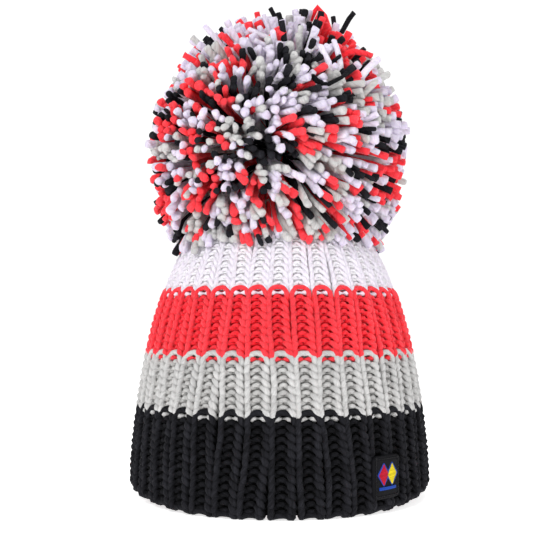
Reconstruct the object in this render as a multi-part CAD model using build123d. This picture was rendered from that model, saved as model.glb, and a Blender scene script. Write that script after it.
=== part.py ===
"""Pom pom beanie: a ribbed knit hat in four bands of yarn, lined at the brim, with a large tied pom pom.

Millimetres, +Z up. The origin is the centre of the brim's underside, and -Y is the front.
Every knit layer follows one dome formula, so a layer is a depth under the hat's outer surface.
"""

import os
from math import acos, asin, atan2, cos, degrees, hypot, radians, sin

from build123d import *

# The hat's outer form
HAT_RADIUS = 97.6
HAT_HEIGHT = 195.0
DOME_RISE = 1.8  # exponent of the height in the dome formula
DOME_SHOULDER = 3.0  # exponent of the radius in the dome formula
KNIT_THICKNESS = 4.6
BRIM_BAND_HEIGHT = 59.0
GREY_BAND_HEIGHT = 34.0
CORAL_BAND_HEIGHT = 39.0
GATHER_HOLE_RADIUS = 7.5

# The brim's turned-in hem and its lining
HEM_HEIGHT = 55.0
HEM_THICKNESS = 3.6
HEM_SLOT = 0.4
BRIM_EDGE_ROUND = 3.0
LINING_BOTTOM = 5.0
LINING_HEIGHT = 41.0
LINING_THICKNESS = 1.8  # at its top, where the hat is narrowest
LINING_GAP = 0.1
THREAD_RADIUS = 0.4
STITCH_INSET = 2.5
STITCH_GROOVE = 1.0

# Seams and labels
SEAM_WIDTH = 3.0
SEAM_THICKNESS = 1.4
LABEL_WIDTH = 20.0
LABEL_HEIGHT = 24.0
LABEL_THICKNESS = 0.8
LABEL_BOTTOM = 9.0
LABEL_ANGLE = 38.7  # round to the wearer's left from the front
LABEL_STITCHES_ACROSS = 8
LABEL_STITCHES_UP = 10
LABEL_STITCH_LENGTH = 1.5
LABEL_STITCH_MARGIN = 0.9
MOTIF_THICKNESS = 0.5
MOTIF_DIAMOND_WIDTH = 6.4
MOTIF_DIAMOND_HEIGHT = 9.5
MOTIF_BAR_HEIGHT = 1.6
CARE_LABEL_WIDTH = 25.0
CARE_LABEL_HEIGHT = 35.0
CARE_LABEL_THICKNESS = 0.3
CARE_LABEL_TOP = 100.0

# The pom pom
POMPOM_RADIUS = 84.0
POMPOM_SINK = 52.0  # how far the ball reaches below the top of the hat
POMPOM_TILT = 10.0  # each of its two hinges turns this far each way
TILT_MARGIN = 1.4
GORES_ROUND = 8
YARN_COLOURS = ["white", "black", "coral", "grey"]
GORE_GAP_ANGLE = 0.3
GORE_GAP = 0.4
AXIS_GAP = 0.25
CORD_BORE_RADIUS = 7.0
CORE_RADIUS = 13.0
CORE_HEIGHT = 28.0

# The tie
CORD_RADIUS = 2.5
CORD_END_ROUND = 1.0
CORD_FOOT_GAP = 1.0
BINDING_KNOT_HEIGHT = 8.0
BINDING_RADIUS = 7.5
BINDING_TURNS = 3
BINDING_CORD_RADIUS = 1.6
GATHER_YARN_RADIUS = 1.1
KNOT_RADIUS = 9.5
KNOT_HALF_HEIGHT = 4.4
KNOT_INSET = 1.5  # between the binding's knot and the wall of the bore
CLEARANCE = 0.3

PIVOT_HEIGHT = HAT_HEIGHT
POMPOM_CENTRE = HAT_HEIGHT - POMPOM_SINK + POMPOM_RADIUS
GREY_BOTTOM = BRIM_BAND_HEIGHT
CORAL_BOTTOM = GREY_BOTTOM + GREY_BAND_HEIGHT
CROWN_BOTTOM = CORAL_BOTTOM + CORAL_BAND_HEIGHT
HEM_DEPTH = KNIT_THICKNESS + HEM_SLOT
LINING_DEPTH = HEM_DEPTH + HEM_THICKNESS + LINING_GAP
BACK_ANGLE = 90.0
LABEL_AZIMUTH = -90.0 + LABEL_ANGLE
BINDING_PITCH = 2 * BINDING_CORD_RADIUS + CLEARANCE


def dome_point(depth, swing):
    """(radius, height) on the layer at a depth; swing runs from 0 at the brim to 90 degrees at the top."""
    turn = radians(swing)
    radius = (HAT_RADIUS - depth) * max(cos(turn), 0.0) ** (2 / DOME_SHOULDER)
    height = (HAT_HEIGHT - depth) * sin(turn) ** (2 / DOME_RISE)
    return radius, height


def swing_at_height(depth, height):
    return degrees(asin((height / (HAT_HEIGHT - depth)) ** (DOME_RISE / 2)))


def swing_at_radius(depth, radius):
    return degrees(acos((radius / (HAT_RADIUS - depth)) ** (DOME_SHOULDER / 2)))


def layer_curve(depth, low, high, spans):
    """The layer's meridian between two swings, as points for a spline."""
    steps = [low + (high - low) * i / spans for i in range(spans + 1)]
    return [dome_point(depth, swing) for swing in steps]


def band_curve(depth, bottom, top, spans=4):
    return layer_curve(depth, swing_at_height(depth, bottom), swing_at_height(depth, top), spans)


def in_section(point):
    """A (radius, height) pair as a point of the XZ plane."""
    return Vector(point[0], 0, point[1])


def meridian_face(*edges):
    """A face in the XZ plane from runs of points: a run of two is a line, and a longer one a spline."""
    drawn = []
    for run in edges:
        points = [in_section(point) for point in run]
        drawn.append(Line(*points) if len(points) == 2 else Spline(*points))
    return make_face(drawn)


def closed_section(*runs):
    """Joins runs of points end to end, with straight lines across the gaps, into one face."""
    edges = []
    for run, following in zip(runs, runs[1:] + runs[:1]):
        if len(run) > 1:
            edges.append(run)
        if hypot(run[-1][0] - following[0][0], run[-1][1] - following[0][1]) > 1e-6:
            edges.append([run[-1], following[0]])
    return meridian_face(*edges)


def turned(face, angle=360.0, centred_on=0.0):
    """Turns a meridian face about Z by an angle that is centred on an azimuth."""
    solid = revolve(face, Axis.Z, angle)
    return solid.rotate(Axis.Z, centred_on - angle / 2) if angle < 360 else solid


def thread_ring(radius, height, thickness):
    return Pos(0, 0, height) * Torus(radius, thickness)


def on_brim(azimuth, height, depth):
    """A place on the brim's layer at a depth, with its X round the hat, Y up and Z outward."""
    low = dome_point(depth, swing_at_height(depth, height - 1))[0]
    high = dome_point(depth, swing_at_height(depth, height + 1))[0]
    lean = degrees(atan2(low - high, 2.0))
    radius = (low + high) / 2
    return Rot(0, 0, azimuth + 90) * Pos(0, -radius, height) * Rot(90 - lean, 0, 0)


def knit_band(bottom, top):
    outside = band_curve(0, bottom, top)
    inside = band_curve(KNIT_THICKNESS, bottom, top)
    return turned(closed_section(outside, inside[::-1]))


def brim_knit():
    """The outer rib and the hem that is folded up inside it, one fabric with a fold at the bottom."""
    fold = HEM_THICKNESS
    outside = band_curve(0, 0, BRIM_BAND_HEIGHT)
    outer_back = band_curve(KNIT_THICKNESS, fold, BRIM_BAND_HEIGHT)
    hem_front = band_curve(HEM_DEPTH, fold, HEM_HEIGHT)
    hem_back = band_curve(HEM_DEPTH + HEM_THICKNESS, 0, HEM_HEIGHT)
    ring = turned(closed_section(outside, outer_back[::-1], hem_front, hem_back[::-1]))
    edges = ring.edges().filter_by(lambda edge: abs(edge.center().Z) < 0.01 and edge.length > HAT_RADIUS)
    return fillet(edges, BRIM_EDGE_ROUND)


def white_crown_knit():
    faces = []
    for depth in (0, KNIT_THICKNESS):
        low = swing_at_height(depth, CROWN_BOTTOM)
        high = swing_at_radius(depth, GATHER_HOLE_RADIUS)
        faces.append(layer_curve(depth, low, high, 12))
    outside, inside = faces
    return turned(closed_section(outside, inside[::-1]))


def back_seam():
    """The sewn selvedge ridge up the inside of the back, from above the hem to the crown."""
    front = KNIT_THICKNESS + LINING_GAP
    bottom = HEM_HEIGHT + KNIT_THICKNESS
    top = HAT_HEIGHT - 4 * KNIT_THICKNESS
    outside = band_curve(front, bottom, top, 8)
    inside = band_curve(front + SEAM_THICKNESS, bottom, top, 8)
    return turned(closed_section(outside, inside[::-1]), degrees(SEAM_WIDTH / HAT_RADIUS), BACK_ANGLE)


def crown_gather_yarn():
    ring_radius = GATHER_HOLE_RADIUS - GATHER_YARN_RADIUS - CLEARANCE
    return thread_ring(ring_radius, HAT_HEIGHT - KNIT_THICKNESS / 2, GATHER_YARN_RADIUS)


def hem_stitching():
    """The yarn that links the hem's free edge to the back of the outer rib."""
    radius, _ = dome_point(KNIT_THICKNESS, swing_at_height(KNIT_THICKNESS, HEM_HEIGHT))
    inset = CLEARANCE + 2 * THREAD_RADIUS
    return thread_ring(radius - inset, HEM_HEIGHT + inset, 2 * THREAD_RADIUS)


def lining_bore_radius():
    top = LINING_BOTTOM + LINING_HEIGHT
    return dome_point(LINING_DEPTH, swing_at_height(LINING_DEPTH, top))[0] - LINING_THICKNESS


def lining_stitch_heights():
    return LINING_BOTTOM + STITCH_INSET, LINING_BOTTOM + LINING_HEIGHT - STITCH_INSET


def fleece_lining():
    """A fleece ear band with a round bore, and two grooves where its rows of stitches pull in."""
    top = LINING_BOTTOM + LINING_HEIGHT
    bore_radius = lining_bore_radius()
    outside = band_curve(LINING_DEPTH, LINING_BOTTOM, top)
    band = turned(closed_section(outside, [(bore_radius, top), (bore_radius, LINING_BOTTOM)]))
    for height in lining_stitch_heights():
        band -= Pos(0, 0, height) * Cylinder(bore_radius + STITCH_GROOVE, STITCH_GROOVE)
    return band


def lining_stitching():
    radius = lining_bore_radius() + STITCH_GROOVE / 2
    return Compound([thread_ring(radius, height, THREAD_RADIUS) for height in lining_stitch_heights()])


def woven_label():
    outside = band_curve(-LABEL_THICKNESS - LINING_GAP, LABEL_BOTTOM, LABEL_BOTTOM + LABEL_HEIGHT)
    inside = band_curve(-LINING_GAP, LABEL_BOTTOM, LABEL_BOTTOM + LABEL_HEIGHT)
    return turned(closed_section(outside, inside[::-1]), degrees(LABEL_WIDTH / HAT_RADIUS), LABEL_AZIMUTH)


def on_label(across, up, depth_over=0.0):
    """A place on the label's face, from its centre."""
    azimuth = LABEL_AZIMUTH + degrees(across / (HAT_RADIUS + LABEL_THICKNESS))
    depth = -LABEL_THICKNESS - 2 * LINING_GAP - depth_over
    return on_brim(azimuth, LABEL_BOTTOM + LABEL_HEIGHT / 2 + up, depth)


def label_stitch(across, up, width, height):
    return on_label(across, up, THREAD_RADIUS / 2) * Box(width, height, THREAD_RADIUS)


def label_stitching():
    """Rows of single stitches just inside the label's four edges."""
    half_width = LABEL_WIDTH / 2 - LABEL_STITCH_MARGIN
    half_height = LABEL_HEIGHT / 2 - LABEL_STITCH_MARGIN
    stitches = []
    for number in range(LABEL_STITCHES_ACROSS):
        across = half_width * (2 * (number + 0.5) / LABEL_STITCHES_ACROSS - 1)
        for up in (-half_height, half_height):
            stitches.append(label_stitch(across, up, LABEL_STITCH_LENGTH, THREAD_RADIUS))
    for number in range(LABEL_STITCHES_UP):
        up = (half_height - THREAD_RADIUS) * (2 * (number + 0.5) / LABEL_STITCHES_UP - 1)
        for across in (-half_width, half_width):
            stitches.append(label_stitch(across, up, THREAD_RADIUS, LABEL_STITCH_LENGTH))
    return Compound(stitches)


def motif_diamond(side):
    """A raised diamond of satin stitch, on the left (-1) or right (1) of the label."""
    half_width = MOTIF_DIAMOND_WIDTH / 2
    half_height = MOTIF_DIAMOND_HEIGHT / 2
    corners = [(-half_width, 0), (0, -half_height), (half_width, 0), (0, half_height)]
    outline = make_face(Polyline(*corners, close=True))
    middle = side * (half_width + CLEARANCE / 2)
    return on_label(middle, MOTIF_BAR_HEIGHT) * extrude(outline, MOTIF_THICKNESS)


def motif_bar():
    """The straight bar under the two diamonds."""
    drop = MOTIF_DIAMOND_HEIGHT / 2 + MOTIF_BAR_HEIGHT
    bar = Box(2 * MOTIF_DIAMOND_WIDTH, MOTIF_BAR_HEIGHT, MOTIF_THICKNESS)
    return on_label(0, -drop, MOTIF_THICKNESS / 2) * bar


def care_label_place():
    """How far behind the axis the care label hangs, just inside the seam ridge."""
    depth = KNIT_THICKNESS + LINING_GAP + SEAM_THICKNESS
    radius, _ = dome_point(depth, swing_at_height(depth, CARE_LABEL_TOP))
    return radius - CLEARANCE - CARE_LABEL_THICKNESS - LABEL_THICKNESS


def care_label():
    plate = Box(CARE_LABEL_WIDTH, CARE_LABEL_THICKNESS, CARE_LABEL_HEIGHT)
    return Pos(0, care_label_place(), CARE_LABEL_TOP - CARE_LABEL_HEIGHT / 2) * plate


def underside_point(swing):
    """The crown's outline swung up about the pivot, so that the pom pom clears it at its furthest tilt."""
    furthest = degrees(acos(cos(radians(POMPOM_TILT)) ** 2)) + TILT_MARGIN
    radius, height = dome_point(0, swing)
    reach = hypot(radius, PIVOT_HEIGHT - height)
    drop = atan2(PIVOT_HEIGHT - height, radius) - radians(furthest)
    return reach * cos(drop), PIVOT_HEIGHT - reach * sin(drop)


def ball_gap(swing):
    """How far an underside point lies inside the ball."""
    radius, height = underside_point(swing)
    return POMPOM_RADIUS - hypot(radius, height - POMPOM_CENTRE)


def underside_swings():
    """The swings where the underside meets the cord's bore and the ball's surface, by halving."""
    rim_low, rim_high = swing_at_height(0, CROWN_BOTTOM), swing_at_radius(0, CORD_BORE_RADIUS)
    for _ in range(50):
        middle = (rim_low + rim_high) / 2
        rim_low, rim_high = (rim_low, middle) if ball_gap(middle) > 0 else (middle, rim_high)
    inner_low, inner_high = rim_high, 90.0
    for _ in range(50):
        middle = (inner_low + inner_high) / 2
        outside_bore = underside_point(middle)[0] > CORD_BORE_RADIUS
        inner_low, inner_high = (middle, inner_high) if outside_bore else (inner_low, middle)
    return inner_low, rim_high


def ball_point(angle):
    """A point on the ball's outline; angle is above the horizontal."""
    turn = radians(angle)
    return POMPOM_RADIUS * cos(turn), POMPOM_CENTRE + POMPOM_RADIUS * sin(turn)


def lower_gore_face():
    """From the crown-shaped hollow up to the ball's waistline, round the bore and the core."""
    inner, rim = underside_swings()
    steps = 8
    underside = [underside_point(inner + (rim - inner) * i / steps) for i in range(steps + 1)]
    rim_angle = degrees(atan2(underside[-1][1] - POMPOM_CENTRE, underside[-1][0]))
    ball_side = [underside[-1], ball_point(rim_angle / 2), ball_point(0)]
    core_floor = POMPOM_CENTRE - CORE_HEIGHT / 2
    inside = [
        ball_point(0),
        (CORE_RADIUS, POMPOM_CENTRE),
        (CORE_RADIUS, core_floor),
        (underside[0][0], core_floor),
        underside[0],
    ]
    outline = [Spline(*map(in_section, underside)), ThreePointArc(*map(in_section, ball_side))]
    return make_face(outline + [Polyline(*map(in_section, inside))])


def upper_gore_face():
    """From the ball's waistline up to its top, round the core."""
    base = degrees(asin(GORE_GAP / POMPOM_RADIUS))
    top = degrees(acos(AXIS_GAP / POMPOM_RADIUS))
    ball_side = [ball_point(base), ball_point((base + top) / 2), ball_point(top)]
    core_roof = POMPOM_CENTRE + CORE_HEIGHT / 2
    inside = [
        ball_point(top),
        (AXIS_GAP, core_roof),
        (CORE_RADIUS, core_roof),
        (CORE_RADIUS, POMPOM_CENTRE + GORE_GAP),
        ball_point(base),
    ]
    return make_face([ThreePointArc(*map(in_section, ball_side)), Polyline(*map(in_section, inside))])


def waist_quarter(number):
    """One colour's share of the pinched bundle that runs through the binding."""
    outer = BINDING_RADIUS - BINDING_CORD_RADIUS - CLEARANCE
    low, high = POMPOM_CENTRE - binding_half_height(), POMPOM_CENTRE + binding_half_height()
    section = closed_section([(AXIS_GAP, low), (outer, low)], [(outer, high), (AXIS_GAP, high)])
    return turned(section, 90 - GORE_GAP_ANGLE, 90 * number)


def pompom_yarns():
    """Each colour of yarn as a group of gores: two in the lower ring, two in the upper, and its waist."""
    lower, upper = lower_gore_face(), upper_gore_face()
    share = 360 / GORES_ROUND
    groups = {colour: [] for colour in YARN_COLOURS}
    for number in range(GORES_ROUND):
        azimuth = number * share
        low_colour = YARN_COLOURS[number % len(YARN_COLOURS)]
        high_colour = YARN_COLOURS[(number + 2) % len(YARN_COLOURS)]
        groups[low_colour].append(turned(lower, share - GORE_GAP_ANGLE, azimuth))
        groups[high_colour].append(turned(upper, share - GORE_GAP_ANGLE, azimuth))
    for number, colour in enumerate(YARN_COLOURS):
        groups[colour].append(waist_quarter(number))
    return {f"pompom_{colour}_yarn": Compound(solids) for colour, solids in groups.items()}


def binding_half_height():
    return (BINDING_PITCH * (BINDING_TURNS - 1)) / 2 + BINDING_CORD_RADIUS


def binding_cord():
    """Tight turns of cord round the pom pom's waist."""
    first = POMPOM_CENTRE - BINDING_PITCH * (BINDING_TURNS - 1) / 2
    heights = [first + BINDING_PITCH * turn for turn in range(BINDING_TURNS)]
    return Compound([thread_ring(BINDING_RADIUS, height, BINDING_CORD_RADIUS) for height in heights])


def lumpy_knot(radius, half_height, height):
    """A knot as two short crossed rolls of cord round a barrel."""
    barrel = Cylinder(radius * 0.62, 2 * half_height)
    roll = Cylinder(min(half_height * 0.8, radius * 0.55), 2 * radius)
    knot = barrel + Rot(90, 0, 35) * roll + Rot(90, 0, -35) * roll
    return Pos(0, 0, height) * knot


def binding_knot_bottom():
    return POMPOM_CENTRE - binding_half_height() - CLEARANCE - BINDING_KNOT_HEIGHT


def binding_knot():
    """The knot under the binding, where its two tails leave for the crown."""
    middle = binding_knot_bottom() + BINDING_KNOT_HEIGHT / 2
    return lumpy_knot(CORD_BORE_RADIUS - KNOT_INSET, BINDING_KNOT_HEIGHT / 2, middle)


def attachment_cord():
    """The two twisted tails between the binding and the crown, which flex at the pivot."""
    top = binding_knot_bottom() - CLEARANCE
    bottom = anchor_knot_top() + CORD_FOOT_GAP
    cord = Cylinder(CORD_RADIUS, top - bottom)
    cord = fillet(cord.edges().filter_by(GeomType.CIRCLE), CORD_END_ROUND)
    return Pos(0, 0, (top + bottom) / 2) * cord


def anchor_knot_top():
    return HAT_HEIGHT - KNIT_THICKNESS - CLEARANCE


def anchor_knot():
    """The knot inside the crown that the tails are tied off in."""
    return lumpy_knot(KNOT_RADIUS, KNOT_HALF_HEIGHT, anchor_knot_top() - KNOT_HALF_HEIGHT)


def main():
    nodes = {
        "brim_knit": brim_knit(),
        "grey_band_knit": knit_band(GREY_BOTTOM, CORAL_BOTTOM),
        "coral_band_knit": knit_band(CORAL_BOTTOM, CROWN_BOTTOM),
        "white_crown_knit": white_crown_knit(),
        "crown_gather_yarn": crown_gather_yarn(),
        "back_seam": back_seam(),
        "hem_stitching": hem_stitching(),
        "fleece_lining": fleece_lining(),
        "lining_stitching": lining_stitching(),
        "woven_label": woven_label(),
        "label_stitching": label_stitching(),
        "label_motif_red": motif_diamond(-1),
        "label_motif_yellow": motif_diamond(1),
        "label_motif_blue": motif_bar(),
        "care_label": care_label(),
        "anchor_knot": anchor_knot(),
        "attachment_cord": attachment_cord(),
        "binding_cord": binding_cord(),
        "binding_knot": binding_knot(),
    }
    nodes.update(pompom_yarns())
    os.makedirs("parts", exist_ok=True)
    for name, shape in nodes.items():
        export_step(shape, f"parts/{name}.step")
    print("care label hinge:", round(care_label_place(), 2), CARE_LABEL_TOP)
    print("lining bore radius:", round(lining_bore_radius(), 2))


main()
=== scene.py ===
import math

import bpy
import numpy as np
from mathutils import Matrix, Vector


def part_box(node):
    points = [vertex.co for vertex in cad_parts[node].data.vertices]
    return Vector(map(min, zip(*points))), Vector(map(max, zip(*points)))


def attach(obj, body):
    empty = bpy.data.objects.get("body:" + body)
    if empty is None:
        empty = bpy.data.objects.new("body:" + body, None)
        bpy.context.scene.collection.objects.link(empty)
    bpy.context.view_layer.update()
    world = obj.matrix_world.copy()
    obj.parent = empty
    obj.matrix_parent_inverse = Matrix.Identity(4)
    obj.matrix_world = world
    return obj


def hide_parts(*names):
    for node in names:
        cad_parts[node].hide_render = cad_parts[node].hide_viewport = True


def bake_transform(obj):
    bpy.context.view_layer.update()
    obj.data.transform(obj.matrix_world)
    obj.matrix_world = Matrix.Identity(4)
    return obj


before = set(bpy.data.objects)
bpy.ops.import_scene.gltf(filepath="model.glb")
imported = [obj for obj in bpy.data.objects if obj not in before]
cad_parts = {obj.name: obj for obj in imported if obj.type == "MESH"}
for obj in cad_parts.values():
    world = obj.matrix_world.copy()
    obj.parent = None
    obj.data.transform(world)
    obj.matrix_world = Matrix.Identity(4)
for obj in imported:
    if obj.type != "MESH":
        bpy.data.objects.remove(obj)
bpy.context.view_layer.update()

# camera, light and table first

view = {"distance": 0.637, "side": -0.0084, "height": 0.110, "pitch": 3.5, "lens": 64.3}
light = {"sky": 0.47, "backdrop": 1.05, "key": 6.1, "fill": 2.1, "top": 3.8, "tableGlow": 0.70}
mm = 0.001


def makeCamera():
    lens = bpy.data.cameras.new("camera")
    lens.lens = view["lens"]
    lens.sensor_width = 36
    eye = bpy.data.objects.new("camera", lens)
    eye.location = (view["side"], -view["distance"], view["height"])
    eye.rotation_euler = (math.radians(90 + view["pitch"]), 0, 0)
    bpy.context.scene.collection.objects.link(eye)
    bpy.context.scene.camera = eye


def makeLamp(name, place, power, size):
    lamp = bpy.data.lights.new(name, "AREA")
    lamp.energy = power
    lamp.size = size
    holder = bpy.data.objects.new(name, lamp)
    holder.location = place
    aim = np.array([0, 0, 0.16]) - np.array(place)
    tilt = math.atan2(math.hypot(aim[0], aim[1]), -aim[2])
    holder.rotation_euler = (tilt, 0, math.atan2(aim[0], -aim[1]) + math.pi)
    bpy.context.scene.collection.objects.link(holder)


def makeStudio():
    world = bpy.data.worlds.new("studio")
    world.use_nodes = True
    sky = world.node_tree.nodes["Background"]
    sky.inputs["Color"].default_value = (1, 1, 1, 1)
    # the backdrop is pure white to look at, and lights the hat more softly
    nodes, links = world.node_tree.nodes, world.node_tree.links
    seen = nodes.new("ShaderNodeLightPath")
    strength = nodes.new("ShaderNodeMapRange")
    strength.inputs["To Min"].default_value = light["sky"]
    strength.inputs["To Max"].default_value = light["backdrop"]
    links.new(seen.outputs["Is Camera Ray"], strength.inputs["Value"])
    links.new(strength.outputs[0], sky.inputs["Strength"])
    bpy.context.scene.world = world
    makeLamp("keyLight", (-0.50, -0.85, 0.75), light["key"], 0.45)
    makeLamp("fillLight", (0.9, -0.5, 0.4), light["fill"], 0.6)
    makeLamp("topLight", (0.1, 0.2, 1.1), light["top"], 0.7)
    bpy.ops.mesh.primitive_plane_add(size=80)
    table = bpy.context.object
    table.name = "table"
    paper = bpy.data.materials.new("tablePaper")
    paper.use_nodes = True
    sheet = paper.node_tree.nodes["Principled BSDF"].inputs
    sheet["Base Color"].default_value = (0.93, 0.93, 0.93, 1)
    sheet["Roughness"].default_value = 0.9
    sheet["Specular IOR Level"].default_value = 0.0
    sheet["Emission Color"].default_value = (1, 1, 1, 1)
    sheet["Emission Strength"].default_value = light["tableGlow"]
    table.data.materials.append(paper)
    bpy.context.scene.view_settings.view_transform = "Standard"


makeCamera()
makeStudio()
print("camera and studio ready")

# materials

# each yarn's second colour is painted into its recesses, down between the stitches and at the pom pom
# strands' roots: painted shade, darker than the yarn's colour, and for both whites painted light, brighter
# than it, to lift their shade
yarnLook = {
    "whiteYarn": {
        "color": (0.71, 0.655, 0.785), "paintedRecess": (0.95, 0.91, 0.99),
        "spread": 0.05, "sheen": 0.10, "glow": 0.6, "slot": "white_yarn",
    },
    # the crown's yarn is the pom pom's white yarn painted brighter and flatter: a lit copy of it, painted
    # light
    "paintedLitCrownYarn": {
        "color": (0.875, 0.82, 0.935), "paintedRecess": (0.985, 0.965, 1.0),
        "spread": 0.025, "sheen": 0.2, "glow": 0.2, "slot": "white_yarn",
    },
    "greyYarn": {
        "color": (0.585, 0.58, 0.575), "paintedRecess": (0.50, 0.495, 0.48),
        "spread": 0.08, "sheen": 0.12, "glow": 0.22, "slot": "grey_yarn",
    },
    "coralYarn": {
        "color": (1.0, 0.060, 0.078), "paintedRecess": (0.97, 0.014, 0.030),
        "spread": 0.08, "sheen": 0.12, "glow": 0.42, "slot": "coral_yarn",
    },
    "blackYarn": {
        "color": (0.0150, 0.0150, 0.0185), "paintedRecess": (0.0004, 0.0004, 0.0005),
        "spread": 0.30, "sheen": 0.020, "glow": 0.0, "slot": "black_yarn",
    },
    "seamYarn": {
        "color": (0.36, 0.35, 0.37), "paintedRecess": (0.22, 0.22, 0.23),
        "spread": 0.10, "sheen": 0.2, "glow": 0.0, "slot": "seam_yarn",
    },
    "tieCord": {
        "color": (0.80, 0.77, 0.84), "paintedRecess": (0.60, 0.58, 0.63),
        "spread": 0.08, "sheen": 0.15, "glow": 0.0, "slot": "tie_cord",
    },
}
twist = {
    "plies": 3,
    "pitch": 0.013,
    "depth": 0.00036,
    "fibre": 0.00075,
    "fibresRound": 2.6,
    "fibresAlong": 130,
    "wool": 2600,  # how fine the woolly grain is
}


def newMaterial(name, roughness):
    material = bpy.data.materials.new(name)
    material.use_nodes = True
    nodes = material.node_tree.nodes
    shader = nodes["Principled BSDF"]
    shader.inputs["Roughness"].default_value = roughness
    shader.inputs["Specular IOR Level"].default_value = 0.25
    links = material.node_tree.links

    def sums(operation, first, second=None):
        # adds one maths node and gives its result
        node = nodes.new("ShaderNodeMath")
        node.operation = operation
        for socket, value in zip(node.inputs, (first, second)):
            if isinstance(value, (int, float)):
                socket.default_value = value
            elif value is not None:
                links.new(value, socket)
        return node.outputs[0]

    return material, nodes, links, shader, sums


def blendColours(nodes, links, share, first, second, way="MIX"):
    # each of share, first and second is a value or another node's result
    node = nodes.new("ShaderNodeMix")
    node.data_type = "RGBA"
    node.blend_type = way
    for socket, value in ((0, share), (6, first), (7, second)):
        if isinstance(value, bpy.types.NodeSocket):
            links.new(value, node.inputs[socket])
        else:
            node.inputs[socket].default_value = value if socket == 0 else (*value, 1)
    return node.outputs[2]


def pointValue(nodes, name):
    node = nodes.new("ShaderNodeAttribute")
    node.attribute_name = name
    return node.outputs["Fac"]


def raised(nodes, links, shader, height, distance, strength=1.0):
    bump = nodes.new("ShaderNodeBump")
    bump.inputs["Distance"].default_value = distance
    bump.inputs["Strength"].default_value = strength
    links.new(height, bump.inputs["Height"])
    links.new(bump.outputs[0], shader.inputs["Normal"])


def flatPlace(nodes, links, name):
    # the place on a UV map, as its two separate lengths
    uv = nodes.new("ShaderNodeUVMap")
    uv.uv_map = name
    split = nodes.new("ShaderNodeSeparateXYZ")
    links.new(uv.outputs[0], split.inputs[0])
    return uv.outputs[0], split.outputs[0], split.outputs[1]


def yarnMaterial(name):
    look = yarnLook[name]
    material, nodes, links, shader, sums = newMaterial(name, 0.82)
    shader.inputs["Specular IOR Level"].default_value = 0.08
    shader.inputs["Sheen Weight"].default_value = look["sheen"]
    shader.inputs["Sheen Roughness"].default_value = 0.35
    shader.inputs["Subsurface Weight"].default_value = look["glow"]
    shader.inputs["Subsurface Radius"].default_value = [max(0.12, channel) for channel in look["color"]]
    shader.inputs["Subsurface Scale"].default_value = 0.0022
    # the plies wind round the yarn: one turn of u is one turn round it, v is the length in metres
    _, roundYarn, alongYarn = flatPlace(nodes, links, "yarn")
    wound = sums("ADD", sums("MULTIPLY", alongYarn, 1 / twist["pitch"]), roundYarn)
    plies = sums("SINE", sums("MULTIPLY", wound, twist["plies"] * 2 * math.pi))
    # fibres run along the plies: a noise wrapped round the yarn and drawn out along it
    angle = sums("MULTIPLY", wound, 2 * math.pi)
    wrap = nodes.new("ShaderNodeCombineXYZ")
    links.new(sums("MULTIPLY", sums("COSINE", angle), twist["fibresRound"]), wrap.inputs[0])
    links.new(sums("MULTIPLY", sums("SINE", angle), twist["fibresRound"]), wrap.inputs[1])
    links.new(sums("MULTIPLY", alongYarn, twist["fibresAlong"]), wrap.inputs[2])
    fibre = nodes.new("ShaderNodeTexNoise")
    fibre.inputs["Scale"].default_value = 1.0
    fibre.inputs["Detail"].default_value = 5
    fibre.inputs["Roughness"].default_value = 0.62
    links.new(wrap.outputs[0], fibre.inputs[0])
    woolly = nodes.new("ShaderNodeTexNoise")
    woolly.inputs["Scale"].default_value = twist["wool"]
    woolly.inputs["Detail"].default_value = 3
    links.new(nodes.new("ShaderNodeTexCoord").outputs["Object"], woolly.inputs[0])
    # each length of yarn is a little lighter or darker, with a woolly grain; its colour is also painted
    # darker in the grooves between its plies, in step with their bump, as painted shade, and the fibre
    # streaks, in step with their bump too, are partly the fibres' own colour and partly painted shade
    shade = sums("ADD", sums("MULTIPLY", pointValue(nodes, "tone"), look["spread"] * 2), 1 - look["spread"])
    grain = sums("MULTIPLY", woolly.outputs[0], look["spread"] * 1.6)
    shade = sums("ADD", shade, sums("SUBTRACT", grain, look["spread"] * 0.8))
    shade = sums("ADD", shade, sums("MULTIPLY", plies, look["spread"] * 0.35))
    streak = sums("SUBTRACT", fibre.outputs[0], 0.5)
    shade = sums("ADD", shade, sums("MULTIPLY", streak, look["spread"] * 9))
    # painted shade and light: a point attribute blends the yarn from its painted recess colour, down
    # between the stitches, to its own colour on their crests
    depth = blendColours(nodes, links, pointValue(nodes, "paintedLight"), look["paintedRecess"], look["color"])
    links.new(blendColours(nodes, links, 1.0, depth, shade, "MULTIPLY"), shader.inputs["Base Color"])
    height = sums("MULTIPLY", plies, twist["depth"] / 2)
    height = sums("ADD", height, sums("MULTIPLY", fibre.outputs[0], twist["fibre"]))
    height = sums("ADD", height, sums("MULTIPLY", woolly.outputs[0], twist["fibre"] * 0.35))
    raised(nodes, links, shader, height, 1.0, 0.9)
    return material


yarns = {name: yarnMaterial(name) for name in yarnLook}
print("yarn materials ready")

# tubes of yarn


def smoothBasis(controls, samples):
    # weights that turn control points into points of a smooth curve through them
    basis = np.zeros((samples, controls))
    for row, t in enumerate(np.linspace(0, controls - 1, samples)):
        k = min(int(t), controls - 2)
        f = t - k
        weights = (
            -0.5 * f**3 + f**2 - 0.5 * f,
            1.5 * f**3 - 2.5 * f**2 + 1,
            -1.5 * f**3 + 2 * f**2 + 0.5 * f,
            0.5 * f**3 - 0.5 * f**2,
        )
        for step, weight in zip((-1, 0, 1, 2), weights):
            basis[row, min(max(k + step, 0), controls - 1)] += weight
    return basis


def unit(vectors):
    return vectors / np.maximum(np.linalg.norm(vectors, axis=-1, keepdims=True), 1e-12)


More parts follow.
